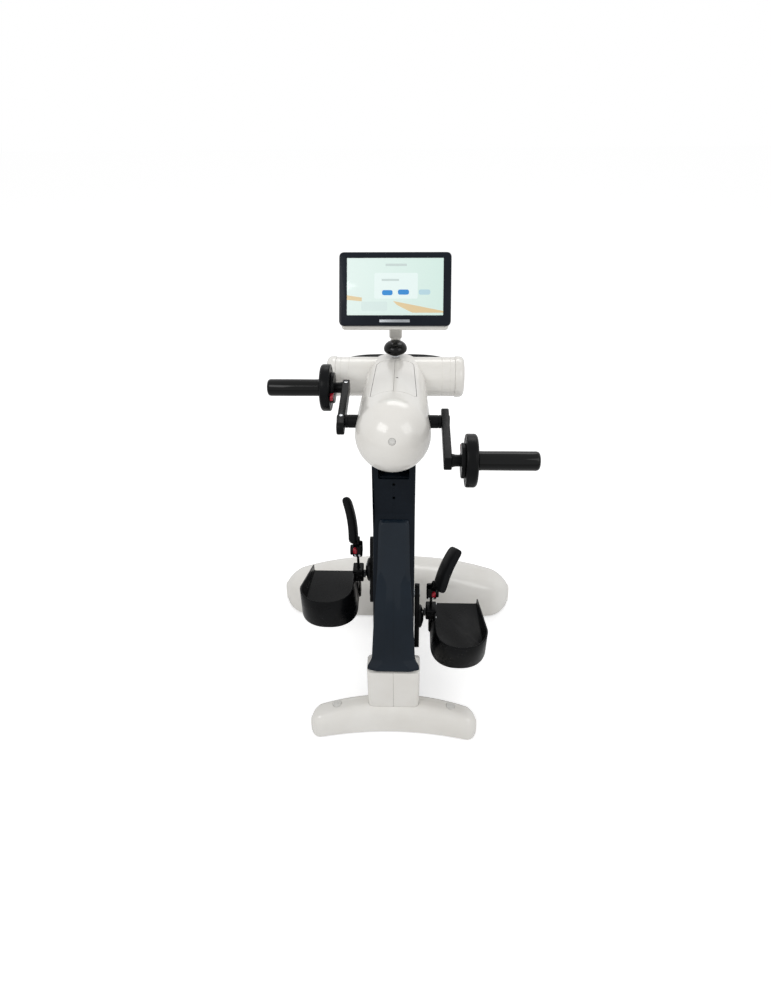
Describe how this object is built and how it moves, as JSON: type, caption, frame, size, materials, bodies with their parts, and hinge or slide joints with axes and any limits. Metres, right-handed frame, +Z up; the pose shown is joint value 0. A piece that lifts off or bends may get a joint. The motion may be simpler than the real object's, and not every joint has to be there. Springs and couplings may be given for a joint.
{
  "type": "rehabilitation exercise bike",
  "caption": "White and black rehabilitation exercise bike with leg pedals and calf supports, arm cranks with hand grips, and a display on a stalk over a slim column.",
  "frame": {"origin": "on the floor, under the middle of the bounding box", "axes": "+Z up; the rider sits on the -Y side and faces +Y; +X is towards the rider's right"},
  "size_m": [0.66, 0.5555, 1.0396],
  "materials": {
    "white_shell": "glossy moulded ABS",
    "column_dark": "satin moulded ABS",
    "cover_gloss": "high gloss moulded ABS",
    "black_plastic": "semi-gloss glass-filled nylon",
    "black_pad": "matt moulded polyurethane foam skin",
    "red_plastic": "glossy moulded plastic",
    "frame_steel": "dark grey powder coat",
    "bright_steel": "turned bright steel",
    "rubber": "matt moulded rubber",
    "belt_rubber": "matt ribbed belt",
    "motor_alloy": "die-cast aluminium",
    "grey_plug": "matt moulded plastic",
    "bezel_dark": "satin moulded plastic",
    "screen_glass": "display glass showing a pale screen"
  },
  "bodies": {
    "base": {"front_foot": "white_shell", "rear_foot": "white_shell", "base_frame": "frame_steel", "front_pad": "rubber", "rear_pad": "rubber", "foot_plug_left": "grey_plug", "foot_plug_right": "grey_plug", "collar_left": "white_shell", "collar_right": "white_shell", "column_frame": "frame_steel", "column_shell_left": "column_dark", "column_shell_right": "column_dark", "front_cover": "cover_gloss", "leg_motor": "motor_alloy", "drive_belt": "belt_rubber", "leg_bearing_left": "bright_steel", "leg_bearing_right": "bright_steel"},
    "wheel_left": {"transport_wheel_left": "rubber"},
    "wheel_right": {"transport_wheel_right": "rubber"},
    "motor_rotor": {"motor_pulley": "bright_steel"},
    "leg_cranks": {"leg_shaft": "bright_steel", "crank_pulley": "motor_alloy", "leg_crank_left": "black_plastic", "leg_crank_right": "black_plastic"},
    "pedal_hub_left": {"pedal_hub_left": "frame_steel"},
    "pedal_hub_right": {"pedal_hub_right": "frame_steel"},
    "pedal_left": {"pedal_bracket_left": "black_plastic", "pedal_cup_left": "black_plastic", "calf_arm_left": "black_plastic"},
    "pedal_right": {"pedal_bracket_right": "black_plastic", "pedal_cup_right": "black_plastic", "calf_arm_right": "black_plastic"},
    "calf_support_left": {"calf_pad_left": "black_pad"},
    "calf_support_right": {"calf_pad_right": "black_pad"},
    "calf_button_left": {"calf_button_left": "red_plastic"},
    "calf_button_right": {"calf_button_right": "red_plastic"},
    "head": {"head_post": "bright_steel", "head_shell": "white_shell", "top_panel_left": "white_shell", "top_panel_right": "white_shell", "arm_motor": "motor_alloy"},
    "grab_bar": {"cross_tube": "white_shell", "end_cap_left": "white_shell", "end_cap_right": "white_shell", "rear_handle": "black_pad"},
    "power_button": {"power_button": "grey_plug"},
    "lock_knob": {"lock_knob": "black_plastic"},
    "arm_cranks": {"arm_shaft": "black_plastic", "arm_crank_left": "black_plastic", "arm_crank_right": "black_plastic"},
    "grip_left": {"grip_disc_left": "black_plastic", "grip_left": "black_plastic"},
    "grip_right": {"grip_disc_right": "black_plastic", "grip_right": "black_plastic"},
    "release_tab_left": {"release_tab_left": "red_plastic"},
    "release_tab_right": {"release_tab_right": "red_plastic"},
    "display_stalk": {"display_stalk": "white_shell"},
    "display": {"display_back": "white_shell", "display_bezel": "bezel_dark", "screen_glass": "screen_glass"}
  },
  "joints": [
    {"name": "wheel_left_roll", "type": "hinge", "parent": "base", "child": "wheel_left", "pos_m": [-0.2985, 0.254, 0.025], "axis": [1, 0, 0], "continuous": true},
    {"name": "wheel_right_roll", "type": "hinge", "parent": "base", "child": "wheel_right", "pos_m": [0.2985, 0.254, 0.025], "axis": [1, 0, 0], "continuous": true},
    {"name": "leg_crank_turn", "type": "hinge", "parent": "base", "child": "leg_cranks", "pos_m": [0, -0.038, 0.2687], "axis": [1, 0, 0], "continuous": true},
    {"name": "motor_rotor_turn", "type": "hinge", "parent": "base", "child": "motor_rotor", "pos_m": [0.0125, -0.14, 0.226], "axis": [1, 0, 0], "continuous": true},
    {"name": "pedal_left_level", "type": "hinge", "parent": "leg_cranks", "child": "pedal_hub_left", "pos_m": [-0.07, -0.01737, 0.31315], "axis": [1, 0, 0], "continuous": true},
    {"name": "pedal_right_level", "type": "hinge", "parent": "leg_cranks", "child": "pedal_hub_right", "pos_m": [0.07, -0.05863, 0.22425], "axis": [1, 0, 0], "continuous": true},
    {"name": "pedal_left_tilt", "type": "hinge", "parent": "pedal_hub_left", "child": "pedal_left", "pos_m": [-0.09, -0.01737, 0.31315], "axis": [1, 0, 0], "range_deg": [-20, 20]},
    {"name": "pedal_right_tilt", "type": "hinge", "parent": "pedal_hub_right", "child": "pedal_right", "pos_m": [0.09, -0.05863, 0.22425], "axis": [1, 0, 0], "range_deg": [-30, 10]},
    {"name": "calf_pad_left_lean", "type": "hinge", "parent": "pedal_left", "child": "calf_support_left", "pos_m": [-0.0895, -0.01737, 0.40215], "axis": [0, 1, 0], "range_deg": [-18, 10]},
    {"name": "calf_pad_right_lean", "type": "hinge", "parent": "pedal_right", "child": "calf_support_right", "pos_m": [0.0895, -0.06948, 0.31259], "axis": [0, 0.9925, 0.1219], "range_deg": [-28, 5]},
    {"name": "calf_button_left_press", "type": "slide", "parent": "pedal_left", "child": "calf_button_left", "axis": [0, 1, 0], "range_m": [0, 0.0025], "stiffness_N_per_m": 400, "springref_m": -0.0005},
    {"name": "calf_button_right_press", "type": "slide", "parent": "pedal_right", "child": "calf_button_right", "axis": [0, 0.9925, 0.1219], "range_m": [0, 0.0025], "stiffness_N_per_m": 400, "springref_m": -0.0005},
    {"name": "head_height", "type": "slide", "parent": "base", "child": "head", "axis": [0, 0, 1], "range_m": [0, 0.1]},
    {"name": "grab_bar_turn", "type": "hinge", "parent": "head", "child": "grab_bar", "pos_m": [0, 0.147, 0.77], "axis": [1, 0, 0], "range_deg": [-10, 10]},
    {"name": "power_button_press", "type": "slide", "parent": "head", "child": "power_button", "axis": [0, 0.9336, -0.3584], "range_m": [0, 0.0012], "stiffness_N_per_m": 400, "springref_m": -0.0003},
    {"name": "lock_knob_turn", "type": "hinge", "parent": "head", "child": "lock_knob", "pos_m": [0, 0.1426, 0.823], "axis": [0, 0, 1], "range_deg": [-360, 360]},
    {"name": "arm_crank_turn", "type": "hinge", "parent": "head", "child": "arm_cranks", "pos_m": [0, -0.082, 0.789], "axis": [1, 0, 0], "continuous": true},
    {"name": "grip_left_turn", "type": "hinge", "parent": "arm_cranks", "child": "grip_left", "pos_m": [-0.157, 0.04586, 0.79503], "axis": [1, 0, 0], "continuous": true},
    {"name": "grip_right_turn", "type": "hinge", "parent": "arm_cranks", "child": "grip_right", "pos_m": [0.157, -0.20986, 0.78297], "axis": [1, 0, 0], "continuous": true},
    {"name": "release_tab_left_slide", "type": "slide", "parent": "arm_cranks", "child": "release_tab_left", "axis": [0, -0.9989, -0.0471], "range_m": [-0.003, 0], "stiffness_N_per_m": 300, "springref_m": 0.001},
    {"name": "release_tab_right_slide", "type": "slide", "parent": "arm_cranks", "child": "release_tab_right", "axis": [0, 0.9989, 0.0471], "range_m": [-0.003, 0], "stiffness_N_per_m": 300, "springref_m": 0.001},
    {"name": "display_swivel", "type": "hinge", "parent": "head", "child": "display_stalk", "pos_m": [0, 0.1807, 0.8205], "axis": [0, 0, 1], "range_deg": [-60, 60]},
    {"name": "display_tilt", "type": "hinge", "parent": "display_stalk", "child": "display", "pos_m": [0, 0.1807, 0.9348], "axis": [1, 0, 0], "range_deg": [-20, 25]}
  ],
  "couplings": [
    {"joint": "motor_rotor_turn", "follows": "leg_crank_turn", "ratio": 3},
    {"joint": "pedal_left_level", "follows": "leg_crank_turn", "ratio": -1},
    {"joint": "pedal_right_level", "follows": "leg_crank_turn", "ratio": -1}
  ]
}
